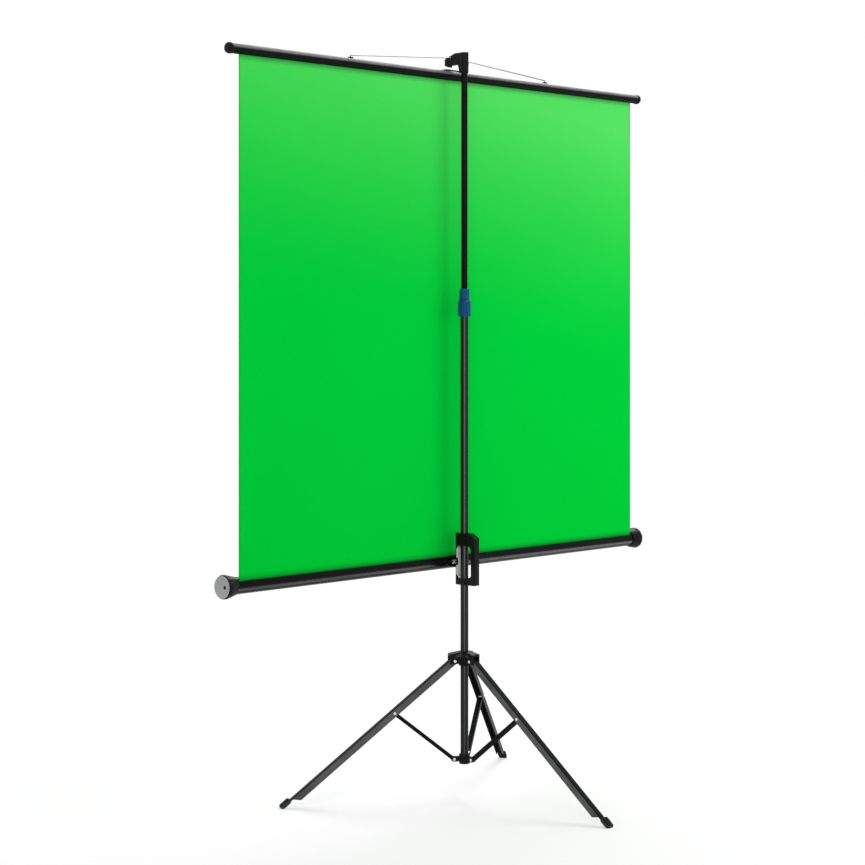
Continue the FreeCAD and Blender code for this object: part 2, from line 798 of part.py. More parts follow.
def build_sheet_and_roller():
    """The sheet, the turns left on the roller and what carries the roller."""
    half = d["sheet_w"] / 2
    keder_z = d["bar_z"] - bar_r + d["bar_wall"] + d["keder_d"] / 2
    tall = keder_z - d["seat_fit"] - d["case_z"]
    corner = vec(-half, d["screen_y"] - d["sheet_thick"] / 2, d["case_z"])
    keep(box(d["sheet_w"], d["sheet_thick"], tall, corner), "screen_fabric")
    axis = vec(0, case_y, d["case_z"])
    roller_r = d["roller_d"] / 2
    wrap_wall = wrap_r - roller_r - d["seat_fit"]
    keep(tube(d["wrap_d"], wrap_wall, d["sheet_w"], axis - vec(half, 0, 0), ALONG_X), "fabric_wrap")
    roller_half = roller_len / 2
    roller = tube(d["roller_d"], d["roller_wall"], roller_len, axis - vec(roller_half, 0, 0), ALONG_X)
    keep(roller, "roller_tube")

    spigot_r = roller_r - d["roller_wall"] - d["seat_fit"]
    shaft_r = d["shaft_d"] / 2
    pin_reach = case_len / 2 - roller_half + d["cap_floor"] - d["end_gap"]
    for side_name, side in SIDES.items():
        inwards = Vector(-side, 0, 0)
        start = axis + vec(side * float(roller_half + d["plug_flange"]), 0, 0)
        plug = fuse(
            cylinder(roller_r, d["plug_flange"], start, inwards),
            cylinder(spigot_r, d["plug_len"] + d["plug_flange"], start, inwards))
        if side_name == "right":
            pin_start = axis + vec(side * float(roller_half + pin_reach), 0, 0)
            plug = fuse(plug, cylinder(shaft_r, pin_reach, pin_start, inwards))
        else:
            bore = cylinder(shaft_r + d["run_fit"], d["plug_len"] + d["plug_flange"], start, inwards)
            plug = cut(plug, bore)
        keep(plug, f"roller_plug_{side_name}")
    shaft_start = axis - vec(roller_half + pin_reach, 0, 0)
    motor_start = axis - vec(roller_half - d["plug_len"] - d["motor_gap"], 0, 0)
    keep(cylinder(shaft_r, d["shaft_len"], shaft_start, ALONG_X), "spring_shaft")
    motor = cylinder(d["motor_d"] / 2, d["motor_len"], motor_start, ALONG_X)
    motor_bore = cylinder(shaft_r + d["seat_fit"], d["motor_len"], motor_start, ALONG_X)
    keep(cut(motor, motor_bore), "spring_motor")


def build_case():
    """The slotted case tube with its notched end caps and face discs."""
    half = case_len / 2
    axis = vec(0, case_y, d["case_z"])
    slot = box(
        case_slot_len, d["case_slot"], case_r,
        vec(-case_slot_len / 2, d["screen_y"] - d["case_slot"] / 2, d["case_z"] + case_r / 4))
    hole_start = vec(0, case_y - case_r - d["over_cut"], d["case_z"])
    bolt_hole = cylinder(bolt_hole_r, case_r, hole_start, ALONG_Y)
    shell = tube(d["case_d"], d["case_wall"], case_len, axis - vec(half, 0, 0), ALONG_X)
    keep(cut(shell, slot, bolt_hole), "case_tube")

    cap_r = d["cap_d"] / 2
    socket_r = case_r + d["seat_fit"]
    bear_r = d["shaft_d"] / 2 + d["run_fit"]
    edge = d["cap_edge"]
    for side_name, side in SIDES.items():
        cap = new_body("end_cap")
        revolve(cap, [
            (bear_r, 0.0), (cap_r - edge, 0.0), (cap_r, edge), (cap_r, d["cap_rim"]),
            (socket_r + d["cap_mouth"], d["cap_len"]), (socket_r, d["cap_len"]),
            (socket_r, d["cap_floor"]), (bear_r, d["cap_floor"]),
        ])
        notch = sketch(cap, "XY_Plane")
        circle(notch, d["notch_d"] / 2, cap_r + d["notch_d"] / 5)
        polar(cap, pocket(cap, notch), d["notch_count"])
        cap.Placement = end_frame(side, half + d["cap_floor"], case_y, d["case_z"])
        keep(cap, f"end_cap_{side_name}")

        outwards = Vector(side, 0, 0)
        face = axis + outwards * float(half + d["cap_floor"])
        disc = cylinder(d["disc_d"] / 2, d["disc_thick"], face, outwards)
        hole = cylinder(d["disc_hole_d"] / 2, d["disc_thick"], face - vec(0, d["disc_hole_off"], 0), outwards)
        keep(cut(disc, hole), f"end_disc_{side_name}")


def build_bracket():
    """The ring-shaped frame that slides on the mast: two collars, front plate and grip."""
    high = d["case_z"] + d["frame_above"]
    low = d["case_z"] - d["frame_below"]
    roof = high - d["frame_top"]
    floor = low + d["frame_bottom"]
    grip_front = -mast_r - d["grip_bar_gap"]
    grip_back = grip_front - d["grip_bar_depth"]
    ring = new_body("frame")
    outline = sketch(ring, "YZ_Plane")
    corner = d["frame_corner"]
    polyline(outline, [
        (plate_front, low), (plate_front, high), (grip_back + 2 * corner, high), (grip_back, high - corner),
        (grip_back, low + corner / 4), (grip_back + corner / 4, low),
    ])
    pad(ring, outline, d["frame_w"], both_ways=True)
    window = sketch(ring, "YZ_Plane")
    bevel = corner / 2
    polyline(window, [
        (plate_back, floor), (plate_back, roof), (grip_front + bevel, roof), (grip_front, roof - bevel),
        (grip_front, floor + bevel), (grip_front + bevel, floor),
    ])
    pocket(ring, window)

    slim = (d["frame_w"] - d["grip_bar_w"]) / 2
    tall = d["frame_above"] + d["frame_below"]
    slim_deep = d["grip_bar_gap"] + d["grip_bar_depth"]
    slim_back = -d["frame_w"] / 2 - slim_deep
    sides = [
        box(slim, slim_deep, tall, vec(x, slim_back, low))
        for x in (-d["frame_w"] / 2, d["grip_bar_w"] / 2)]
    boss_half = d["saddle_tall"] / 2 + d["spine_end"]
    notch_w = (d["frame_w"] - d["frame_spine"]) / 2
    notches = [
        box(notch_w, d["frame_plate"], end - start, vec(x, plate_back, start))
        for x in (-d["frame_w"] / 2, d["frame_spine"] / 2)
        for start, end in ((floor, d["case_z"] - boss_half), (d["case_z"] + boss_half, roof))]
    bore = cylinder(mast_r + d["run_fit"], tall, vec(0, 0, low))
    bolt_hole = cylinder(bolt_hole_r, d["frame_plate"], vec(0, plate_back, d["case_z"]), ALONG_Y)
    pin_y = mast_r + d["rocker_gap"] + d["rocker_thick"] + d["rocker_pin_d"] / 2 + d["seat_fit"]
    lug_back = pin_y - d["rocker_lug_tall"] / 2
    lug_x = d["rocker_barrel"] / 2 + d["side_play"]
    lugs = [
        box(d["rocker_lug"], plate_back - lug_back, d["rocker_lug_tall"],
            vec(x, lug_back, d["case_z"] - d["rocker_lug_tall"] / 2))
        for x in (-lug_x - d["rocker_lug"], lug_x)]
    pin_hole_start = vec(-d["frame_w"], pin_y, d["case_z"])
    pin_hole = cylinder(d["rocker_pin_d"] / 2 + d["seat_fit"], 2 * d["frame_w"], pin_hole_start, ALONG_X)
    frame = cut(fuse(cut(ring, *sides, *notches), *lugs), bore, bolt_hole, pin_hole)

    def grip_edge(edge):
        on_grip = float(grip_back) - 1 < edge.CenterOfMass.y < float(grip_front) + 1
        return on_grip and runs_along(edge, UP)

    keep(round_edges(frame, d["grip_bar_round"], grip_edge), "bracket_frame")
    build_rocker(pin_y, lug_x)


def build_rocker(pin_y, lug_x):
    """The two-lobed slide lock, its cross pin, and the bolt and saddle behind it."""
    z = d["case_z"]
    lobe_r = d["rocker_w"] / 2
    lobe_z = d["rocker_tall"] / 2 - lobe_r
    waist_half = d["rocker_waist_tall"] / 2
    back = mast_r + d["rocker_gap"]
    waist_corner = vec(-d["rocker_waist"] / 2, back, z - waist_half)
    pieces = [box(d["rocker_waist"], d["rocker_thick"], d["rocker_waist_tall"], waist_corner)]
    for side in (-1, 1):
        pieces.append(cylinder(lobe_r, d["rocker_thick"], vec(0, back, z + lobe_z * side), ALONG_Y))
        low = z + waist_half if side > 0 else z - lobe_z
        pieces.append(box(d["rocker_w"], d["rocker_thick"], lobe_z - waist_half, vec(-lobe_r, back, low)))
    barrel_len = d["rocker_barrel"]
    barrel_start = vec(-barrel_len / 2, pin_y, z)
    pieces.append(cylinder(d["rocker_barrel_d"] / 2, barrel_len, barrel_start, ALONG_X))
    pin_bore = cylinder(d["rocker_pin_d"] / 2 + d["run_fit"], barrel_len, barrel_start, ALONG_X)
    keep(cut(fuse(*pieces), pin_bore), "lock_rocker")

    lug_out = lug_x + d["rocker_lug"]
    pin = cylinder(d["rocker_pin_d"] / 2, 2 * lug_out, vec(-lug_out, pin_y, z), ALONG_X)
    knob_start = vec(-lug_out - d["rocker_knob"], pin_y, z)
    knob = cylinder(d["rocker_knob_d"] / 2, d["rocker_knob"], knob_start, ALONG_X)
    keep(fuse(pin, knob), "rocker_pin")

    tall = d["saddle_tall"]
    block_corner = vec(-d["saddle_w"] / 2, plate_front, z - tall / 2)
    block = box(d["saddle_w"], d["saddle_thick"] + d["saddle_wrap"], tall, block_corner)
    case_room = cylinder(case_r + d["seat_fit"], d["saddle_w"], vec(-d["saddle_w"] / 2, case_y, z), ALONG_X)
    bolt_hole = cylinder(bolt_hole_r, case_r, vec(0, plate_front, z), ALONG_Y)
    keep(cut(block, case_room, bolt_hole), "case_saddle")
    nut_y = case_y - case_r + 2 * d["case_wall"]
    head = cylinder(d["bolt_head_d"] / 2, d["bolt_head"], vec(0, plate_back - d["bolt_head"], z), ALONG_Y)
    shank_len = nut_y + d["nut_thick"] - plate_back
    keep(fuse(head, cylinder(d["bolt_d"] / 2, shank_len, vec(0, plate_back, z), ALONG_Y)), "pivot_bolt")
    nut = cylinder(d["nut_d"] / 2, d["nut_thick"], vec(0, nut_y, z), ALONG_Y)
    keep(cut(nut, cylinder(bolt_hole_r, d["nut_thick"], vec(0, nut_y, z), ALONG_Y)), "pivot_nut")


build_mast()
build_lock()
build_collar()
build_hub()
for leg_name, leg_azimuth in LEG_AZIMUTHS.items():
    build_leg(leg_name, leg_azimuth)
    build_strut(leg_name, leg_azimuth)
build_hook()
build_bar()
build_sheet_and_roller()
build_case()
build_bracket()
doc.recompute()

# the origin goes to the middle of the footprint, on the floor
reach = [part.Shape.optimalBoundingBox(False) for part in parts]
middle = vec(0, (min(b.YMin for b in reach) + max(b.YMax for b in reach)) / 2, 0)
for part in parts:
    part.Placement = Placement(-middle, Rotation()).multiply(part.Placement)
doc.recompute()
print("mast at y =", round(-middle.y, 3))

for obj in doc.Objects:
    if "Invalid" in obj.State or "Error" in obj.State:
        raise RuntimeError(f"{obj.Name} did not build: {obj.State}")
os.makedirs("parts", exist_ok=True)
for part in parts:
    if part.Shape.isNull() or not part.Shape.isValid() or not part.Shape.Solids:
        raise RuntimeError(f"{part.Label} is not a valid solid")
    part.Shape.exportStep(f"parts/{part.Label}.step")
print(len(parts), "sub-parts written")
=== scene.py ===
import json
import math

import bpy
from mathutils import Matrix, Vector


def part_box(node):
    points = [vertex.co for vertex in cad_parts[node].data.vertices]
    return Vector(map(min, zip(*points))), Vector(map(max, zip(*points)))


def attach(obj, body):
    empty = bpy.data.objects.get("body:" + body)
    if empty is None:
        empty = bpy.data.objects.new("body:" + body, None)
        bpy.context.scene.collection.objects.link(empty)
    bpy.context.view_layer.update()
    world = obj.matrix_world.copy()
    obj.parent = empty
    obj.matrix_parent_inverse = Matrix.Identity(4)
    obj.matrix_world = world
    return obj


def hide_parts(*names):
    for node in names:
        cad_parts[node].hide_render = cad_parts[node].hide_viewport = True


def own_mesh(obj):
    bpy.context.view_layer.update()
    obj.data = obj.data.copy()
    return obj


# A green roll-up screen on a folding tripod, seen from behind. Metres, in the CAD frame.
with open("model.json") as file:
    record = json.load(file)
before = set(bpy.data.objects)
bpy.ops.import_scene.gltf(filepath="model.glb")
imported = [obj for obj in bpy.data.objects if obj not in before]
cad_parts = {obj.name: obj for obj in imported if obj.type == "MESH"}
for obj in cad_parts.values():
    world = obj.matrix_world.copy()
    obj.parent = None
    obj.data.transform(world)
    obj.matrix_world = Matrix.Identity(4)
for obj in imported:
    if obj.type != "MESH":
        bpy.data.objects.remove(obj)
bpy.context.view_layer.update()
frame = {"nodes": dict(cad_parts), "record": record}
nodes = frame["nodes"]

# the sheet's place and travel
MAST_Y = 0.144521
SCREEN_BEHIND = 0.046
SCREEN_Y = MAST_Y + SCREEN_BEHIND
SHEET_WIDTH = 1.8
SHEET_THICK = 0.0005
SHEET_LOW = 0.744
SHEET_HIGH = 2.277
SHEET_SPLIT = 1.48
SHEET_COLUMNS = 48
SHEET_ROWS = 24

# the sheet's look: its green, painted lighter towards the top, a pale painted sheen towards the top at the +X
# end, the darker hem, and painted shadow at the case's lip and under the bar
CLOTH_LOW = (0.0005, 0.53, 0.035, 1)
CLOTH_HIGH = (0.0005, 0.58, 0.048, 1)
# painted sheen: pale colour added towards the top, more at the +X end
PAINTED_SHEEN_COLOR = (0.08, 0.10, 0.062)
PAINTED_SHEEN_START = 0.45
PAINTED_SHEEN_POWER = 2.3
PAINTED_SHEEN_SLANT = 0.09
HEM = 0.006
HEM_SHADE = 0.72
# painted shadow where the sheet meets the case's lip and under the bar
CASE_LIP = 0.752
LIP_SHADOW = 0.030
LIP_SHADE = 0.5
BAR_LIP = 2.2705
BAR_SHADOW = 0.018
BAR_SHADE = 0.6
WEAVE_PITCH = 0.0009
THREAD_TONES = (0.94, 1.06)
CLOUD_SCALE = 1.6
CLOUD_TONES = (0.95, 1.05)

# angles under which faces are shaded as one smooth surface
CLOTH_SMOOTH = math.radians(30)
EDGE_SMOOTH = math.radians(32)
WIRE_SMOOTH = math.radians(50)

# the photograph's camera
CAMERA_PLACE = (-4.7345, MAST_Y - 4.4203, 1.4968)
CAMERA_TOWARDS = (0.7202, 0.6938, 0.0)
CAMERA_LENS = 84.96
CAMERA_SENSOR = 36.0
CAMERA_SHIFT_UP = -0.12525
CAMERA_FAR = 100.0


def deselect():
    """Leave edit mode and select nothing."""
    if bpy.context.object and bpy.context.object.mode != "OBJECT":
        bpy.ops.object.mode_set(mode="OBJECT")
    bpy.ops.object.select_all(action="DESELECT")


def take_up(piece):
    """Select one piece alone and make it the active one."""
    deselect()
    piece.select_set(True)
    bpy.context.view_layer.objects.active = piece


# shader nodes

def add_node(tree, kind, links=(), **settings):
    """A node with settings as attributes, then values or links for its inputs."""
    node = tree.nodes.new(kind)
    for name, value in settings.items():
        setattr(node, name, value)
    for socket, value in links:
        if isinstance(value, bpy.types.NodeSocket):
            tree.links.new(value, node.inputs[socket])
        else:
            node.inputs[socket].default_value = value
    return node


def maths(tree, operation, first, second=0.0):
    """A sum on one or two numbers."""
    node = add_node(tree, "ShaderNodeMath", [(0, first), (1, second)], operation=operation)
    return node.outputs[0]


def vector_maths(tree, operation, first, second):
    """A sum on two vectors or colours."""
    node = add_node(tree, "ShaderNodeVectorMath", [(0, first), (1, second)], operation=operation)
    return node.outputs[0]


def spread(tree, value, low=0.0, high=1.0, start=0.0, end=1.0, **settings):
    """A value that goes from start to end, brought to the range low to high."""
    node = add_node(
        tree, "ShaderNodeMapRange",
        [("Value", value), ("From Min", start), ("From Max", end), ("To Min", low), ("To Max", high)],
        **settings)
    return node.outputs["Result"]


def noise(tree, place, scale, detail):
    """Noise at a number of waves per metre."""
    node = add_node(
        tree, "ShaderNodeTexNoise", [("Vector", place), ("Scale", scale), ("Detail", detail)])
    return node.outputs["Fac"]


def blend(tree, share, first, second):
    """A mix of two colours."""
    node = add_node(
        tree, "ShaderNodeMixRGB", [("Fac", share), ("Color1", (*first, 1)), ("Color2", (*second, 1))])
    return node.outputs["Color"]


def bump(tree, shader, height, strength, depth):
    """Relief on a shader's surface."""
    node = add_node(
        tree, "ShaderNodeBump", [("Strength", strength), ("Distance", depth), ("Height", height)])
    tree.links.new(node.outputs["Normal"], shader.inputs["Normal"])


# shader node groups

BROAD_SCALE = 14.0
BROAD_RANGE = (0.3, 0.7)
# leans of the faces that get the painted flank sheen and the painted top highlight, and the patches of that
# highlight
FLANK_LEAN = (0.12, 0.5)
TOP_LEAN = (0.05, 0.4)
TOP_HIGHLIGHT_PATCH_SCALE = 40.0
TOP_HIGHLIGHT_PATCH_TONES = (0.6, 1.2)
SLUB_SCALE = 220.0


def new_group(name, inputs, outputs):
    """A shader node group with its sockets, and its two end nodes."""
    group = bpy.data.node_groups.new(name, "ShaderNodeTree")
    for socket_name, kind, value in inputs:
        socket = group.interface.new_socket(socket_name, in_out="INPUT", socket_type=kind)
        socket.default_value = value
    for socket_name, kind in outputs:
        group.interface.new_socket(socket_name, in_out="OUTPUT", socket_type=kind)
    start = group.nodes.new("NodeGroupInput")
    end = group.nodes.new("NodeGroupOutput")
    return group, start, end


def make_grain_group():
    """Moulded or sprayed grain: a fine bump, a soft mottle and an uneven sheen."""
    group, start, end = new_group(
        "surface_grain",
        [("Color", "NodeSocketColor", (0.5, 0.5, 0.5, 1)), ("Grain Size", "NodeSocketFloat", 0.001),
         ("Mottle", "NodeSocketFloat", 0.1), ("Roughness", "NodeSocketFloat", 0.5),
         ("Unevenness", "NodeSocketFloat", 0.1)],
        [("Color", "NodeSocketColor"), ("Roughness", "NodeSocketFloat"), ("Height", "NodeSocketFloat")])
    given = start.outputs
    place = add_node(group, "ShaderNodeTexCoord").outputs["Object"]
    per_metre = maths(group, "DIVIDE", 1.0, given["Grain Size"])
    fine = noise(group, place, per_metre, detail=3.0)
    broad = noise(group, place, BROAD_SCALE, detail=5.0)
    dark = maths(group, "SUBTRACT", 1.0, given["Mottle"])
    light = maths(group, "ADD", 1.0, given["Mottle"])
    broad_start, broad_end = BROAD_RANGE
    shade = spread(group, broad, dark, light, broad_start, broad_end)
    tinted = vector_maths(group, "MULTIPLY", given["Color"], shade)
    swing = maths(group, "MULTIPLY", maths(group, "SUBTRACT", broad, 0.5), given["Unevenness"])
    sheen = maths(group, "ADD", given["Roughness"], swing)
    group.links.new(tinted, end.inputs["Color"])
    group.links.new(sheen, end.inputs["Roughness"])
    group.links.new(fine, end.inputs["Height"])
    return group


def make_facing_group():
    """Masks by the way a face looks, for painted light: upright flanks, which get a painted sheen, and tops,
    which get a patchy painted highlight.
    """
    group, _, end = new_group(
        "facing_masks", [], [("Flank", "NodeSocketFloat"), ("Top", "NodeSocketFloat")])
    coords = add_node(group, "ShaderNodeTexCoord").outputs
    axes = add_node(group, "ShaderNodeSeparateXYZ", [(0, coords["Normal"])])
    lean = maths(group, "ABSOLUTE", axes.outputs["Z"])
    upright, sloped = FLANK_LEAN
    # painted sheen on upright flanks
    flank = spread(group, lean, 1.0, 0.0, upright, sloped)
    # painted highlight on upward faces, broken into patches
    patches = noise(group, coords["Object"], TOP_HIGHLIGHT_PATCH_SCALE, detail=4.0)
    no_highlight_lean, full_highlight_lean = TOP_LEAN
    top = spread(group, axes.outputs["Z"], start=no_highlight_lean, end=full_highlight_lean)
    patchy_top_highlight = maths(group, "MULTIPLY", top, spread(group, patches, *TOP_HIGHLIGHT_PATCH_TONES))
    group.links.new(flank, end.inputs["Flank"])
    group.links.new(patchy_top_highlight, end.inputs["Top"])
    return group


def make_weave_group():
    """Plain weave in the X-Z plane: threads that go over and under by turns."""
    group, start, end = new_group(
        "plain_weave", [("Pitch", "NodeSocketFloat", 0.001)],
        [("Height", "NodeSocketFloat"), ("Thread", "NodeSocketFloat")])
    place = add_node(group, "ShaderNodeTexCoord").outputs["Object"]
    axes = add_node(group, "ShaderNodeSeparateXYZ", [(0, place)])
    turns = maths(group, "DIVIDE", math.pi, start.outputs["Pitch"])
    across = maths(group, "SINE", maths(group, "MULTIPLY", axes.outputs["X"], turns))
    along = maths(group, "SINE", maths(group, "MULTIPLY", axes.outputs["Z"], turns))
    weave = spread(group, maths(group, "MULTIPLY", across, along), 0.5, 1.0)
    slub = noise(group, place, SLUB_SCALE, detail=2.0)
    group.links.new(weave, end.inputs["Height"])
    group.links.new(slub, end.inputs["Thread"])
    return group


def make_brushed_group():
    """Fine streaks along one axis, as on drawn tube or rolled strip."""
    group, start, end = new_group(
        "drawn_streaks",
        [("Stretch", "NodeSocketVector", (1, 1, 1)), ("Scale", "NodeSocketFloat", 400.0)],
        [("Streak", "NodeSocketFloat")])
    place = add_node(group, "ShaderNodeTexCoord").outputs["Object"]
    long_way = vector_maths(group, "MULTIPLY", place, start.outputs["Stretch"])
    streak = noise(group, long_way, start.outputs["Scale"], detail=2.0)
    group.links.new(streak, end.inputs["Streak"])
    return group


FACING = make_facing_group()
GRAIN = make_grain_group()
WEAVE = make_weave_group()
STREAKS = make_brushed_group()


# materials

GRAIN_STRENGTH = 0.5
STREAK_DARK = 0.82
STREAK_LIGHT = 1.1
STREAK_SMOOTH = 0.7
STREAK_ROUGH = 1.3


def new_material(name, **plain):
    """A material whose Principled BSDF has the plain values given by socket name."""
    mat = bpy.data.materials.new(name)
    mat.use_nodes = True
    shader = mat.node_tree.nodes["Principled BSDF"]
    for socket, value in plain.items():
        shader.inputs[socket.replace("_", " ")].default_value = value
    return mat, mat.node_tree, shader


def add_group(tree, group, **values):
    """A node that holds a group, with values given by socket name."""
    node = tree.nodes.new("ShaderNodeGroup")
    node.node_tree = group
    for socket, value in values.items():
        node.inputs[socket.replace("_", " ")].default_value = value
    return node


def grained(name, color, rough, grain_size, depth, mottle, uneven, mask=None, pale=None, **plain):
    """A solid finish with surface_grain: plastic, rubber or sprayed paint, paler where a mask of painted
    light says.
    """
    mat, tree, shader = new_material(name, **plain)
    grain = add_group(
        tree, GRAIN, Color=(*color, 1), Grain_Size=grain_size, Mottle=mottle,
        Roughness=rough, Unevenness=uneven)
    if mask:
        facing = add_group(tree, FACING)
        tone = blend(tree, facing.outputs[mask], color, pale)
        tree.links.new(tone, grain.inputs["Color"])
    tree.links.new(grain.outputs["Color"], shader.inputs["Base Color"])
    tree.links.new(grain.outputs["Roughness"], shader.inputs["Roughness"])
    bump(tree, shader, grain.outputs["Height"], GRAIN_STRENGTH, depth)
    return mat


def drawn_metal(name, color, rough, stretch):
    """Bare or plated metal with streaks along its length."""
    mat, tree, shader = new_material(name, Metallic=1.0)
    streak = add_group(tree, STREAKS, Stretch=stretch).outputs["Streak"]
    dark = [part * STREAK_DARK for part in color]
    light = [min(1.0, part * STREAK_LIGHT) for part in color]
    tree.links.new(blend(tree, streak, dark, light), shader.inputs["Base Color"])
    sheen = spread(tree, streak, rough * STREAK_SMOOTH, rough * STREAK_ROUGH)
    tree.links.new(sheen, shader.inputs["Roughness"])
    bump(tree, shader, streak, strength=0.15, depth=0.0001)
    return mat


def make_sheet_material():
    """Matte green coated cloth: fine weave, faint clouding, a green painted lighter towards the top, a pale
    painted sheen towards a top corner, and painted shadow at the case's lip and under the bar.
    """
    mat, tree, shader = new_material("green_cloth", Roughness=0.85, Specular_IOR_Level=0.0)
    weave = add_group(tree, WEAVE, Pitch=WEAVE_PITCH)
    place = add_node(tree, "ShaderNodeTexCoord").outputs["Object"]
    axes = add_node(tree, "ShaderNodeSeparateXYZ", [(0, place)]).outputs
    cloud = noise(tree, place, CLOUD_SCALE, detail=3.0)
    # painted light: the green ramps lighter from the foot to the top
    rise = spread(tree, axes["Z"], start=SHEET_LOW, end=SHEET_HIGH)
    ground = add_node(tree, "ShaderNodeValToRGB", [("Fac", rise)])
    ground.color_ramp.elements[0].color = CLOTH_LOW
    ground.color_ramp.elements[1].color = CLOTH_HIGH
    # painted sheen: a pale painted highlight that grows towards the top, more at the +X end
    slant = maths(tree, "ADD", rise, maths(tree, "MULTIPLY", axes["X"], PAINTED_SHEEN_SLANT))
    painted_sheen = maths(tree, "POWER", spread(tree, slant, start=PAINTED_SHEEN_START), PAINTED_SHEEN_POWER)
    pale = add_node(
        tree, "ShaderNodeVectorMath", [(0, PAINTED_SHEEN_COLOR), ("Scale", painted_sheen)], operation="SCALE")
    lit = vector_maths(tree, "ADD", ground.outputs["Color"], pale.outputs[0])
    thread = spread(tree, weave.outputs["Thread"], *THREAD_TONES)
    shade = maths(tree, "MULTIPLY", thread, spread(tree, cloud, *CLOUD_TONES))
    across = maths(tree, "ABSOLUTE", axes["X"])
    edge = SHEET_WIDTH / 2
    # the darker hem along both edges, and painted shadow where the sheet meets the case's lip and under the
    # bar
    for measure, start, end, low in (
            (across, edge - HEM / 2, edge - HEM, HEM_SHADE),
            (axes["Z"], CASE_LIP, CASE_LIP + LIP_SHADOW, LIP_SHADE),
            (axes["Z"], BAR_LIP, BAR_LIP - BAR_SHADOW, BAR_SHADE)):
        dim = spread(tree, measure, low, 1.0, start, end, interpolation_type="SMOOTHSTEP")
        shade = maths(tree, "MULTIPLY", shade, dim)
    tint = vector_maths(tree, "MULTIPLY", lit, shade)
    tree.links.new(tint, shader.inputs["Base Color"])
    bump(tree, shader, weave.outputs["Height"], strength=0.25, depth=0.0002)
    return mat


# finishes of the pieces
ALONG_Z = (1.0, 1.0, 0.02)
ALONG_X = (0.02, 1.0, 1.0)
TUBE_GRAIN = dict(grain_size=0.0016, depth=0.00006, mottle=0.25, uneven=0.12)
SMOOTH_GRAIN = dict(grain_size=0.002, depth=0.00005, mottle=0.2, uneven=0.1)
STEEL_GRAIN = dict(grain_size=0.0014, depth=0.00007, mottle=0.25, uneven=0.14)
MOULDED_GRAIN = dict(grain_size=0.0011, depth=0.00012, mottle=0.2, uneven=0.12)
RUBBER_GRAIN = dict(grain_size=0.0009, depth=0.0002, mottle=0.3, uneven=0.1)
LOCK_GRAIN = dict(grain_size=0.0012, depth=0.0001, mottle=0.12, uneven=0.1)
GREY_GRAIN = dict(grain_size=0.0010, depth=0.0001, mottle=0.12, uneven=0.1)

paint = grained(
    "black_tube_paint", color=(0.004, 0.004, 0.0045), rough=0.42, **TUBE_GRAIN, Specular_IOR_Level=0.2)
inner_paint = grained(
    "black_inner_tube_paint", color=(0.003, 0.003, 0.0035), rough=0.42, **TUBE_GRAIN,
    Specular_IOR_Level=0.08)
# the bar's top gets a patchy painted highlight
bar_paint = grained(
    "black_bar_paint", color=(0.002, 0.002, 0.0023), rough=0.48, **SMOOTH_GRAIN,
    mask="Top", pale=(0.17, 0.17, 0.168), Specular_IOR_Level=0.08)
case_paint = grained(
    "black_case_paint", color=(0.002, 0.002, 0.0023), rough=0.24, **SMOOTH_GRAIN,
    Specular_IOR_Level=0.07)
# the legs' upright flanks get a painted sheen; leg_right's copy gets a far weaker one, as painted shade
leg_paint, shaded_leg_paint = [
    grained(
        name, color=(0.0025, 0.0025, 0.003), rough=0.4, **STEEL_GRAIN,
        mask="Flank", pale=(flank_sheen_tone, flank_sheen_tone, flank_sheen_tone), Specular_IOR_Level=0.05)
    for name, flank_sheen_tone in (("black_leg_paint", 0.098), ("black_leg_paint_shaded_copy", 0.022))]
strut_paint = grained(
    "black_strut_paint", color=(0.004, 0.004, 0.0045), rough=0.4, **STEEL_GRAIN, Specular_IOR_Level=0.07)
moulding = grained(
    "black_moulding", color=(0.005, 0.005, 0.0055), rough=0.42, **MOULDED_GRAIN, Specular_IOR_Level=0.11)
# the boots' upright flanks get a painted sheen
rubber = grained(
    "black_foot_rubber", color=(0.012, 0.012, 0.012), rough=0.75, **RUBBER_GRAIN,
    mask="Flank", pale=(0.05, 0.05, 0.05), Specular_IOR_Level=0.08)
blue = grained(
    "blue_lock_moulding", color=(0.002, 0.062, 0.18), rough=0.36, **LOCK_GRAIN, Specular_IOR_Level=0.15)
grey_disc = grained("grey_disc_moulding", color=(0.35, 0.355, 0.36), rough=0.4, **GREY_GRAIN)
grey_rocker = grained("grey_rocker_moulding", color=(0.64, 0.64, 0.63), rough=0.45, **GREY_GRAIN)
zinc = drawn_metal("plated_steel", color=(0.74, 0.74, 0.72), rough=0.3, stretch=ALONG_Z)
wire_steel = drawn_metal("wire_steel", color=(0.2, 0.2, 0.205), rough=0.34, stretch=ALONG_X)
roller_alloy = drawn_metal("roller_alloy", color=(0.7, 0.7, 0.71), rough=0.28, stretch=ALONG_X)
green_cloth = make_sheet_material()

FINISHES = {
    paint: ["mast_tube", "hook_screw"],
    inner_paint: ["extension_tube"],
    bar_paint: ["top_bar"],
    case_paint: ["case_tube"],
    leg_paint: ["leg_rear", "leg_left"],
    shaded_leg_paint: ["leg_right"],
    strut_paint: ["strut_rear", "strut_right", "strut_left"],
    zinc: ["collar_pins", "hub_pins", "knee_pin_rear", "knee_pin_right", "knee_pin_left",
           "pivot_bolt", "pivot_nut", "rocker_pin", "spring_shaft", "spring_motor"],
    wire_steel: ["hanger_wire"],
    moulding: ["foot_collar", "leg_hub", "extension_glide", "top_hook", "bar_cap_left", "bar_cap_right",
               "fabric_keder", "wire_clip_left", "wire_clip_right", "pull_grip", "bracket_frame",
               "case_saddle", "end_cap_left", "end_cap_right", "roller_plug_left", "roller_plug_right"],
    blue: ["lock_body", "lock_sleeve"],
    grey_disc: ["end_disc_left", "end_disc_right"],
    grey_rocker: ["lock_rocker"],
    rubber: ["foot_rear", "foot_right", "foot_left"],
    green_cloth: ["screen_fabric", "fabric_wrap"],
    roller_alloy: ["roller_tube"],
}
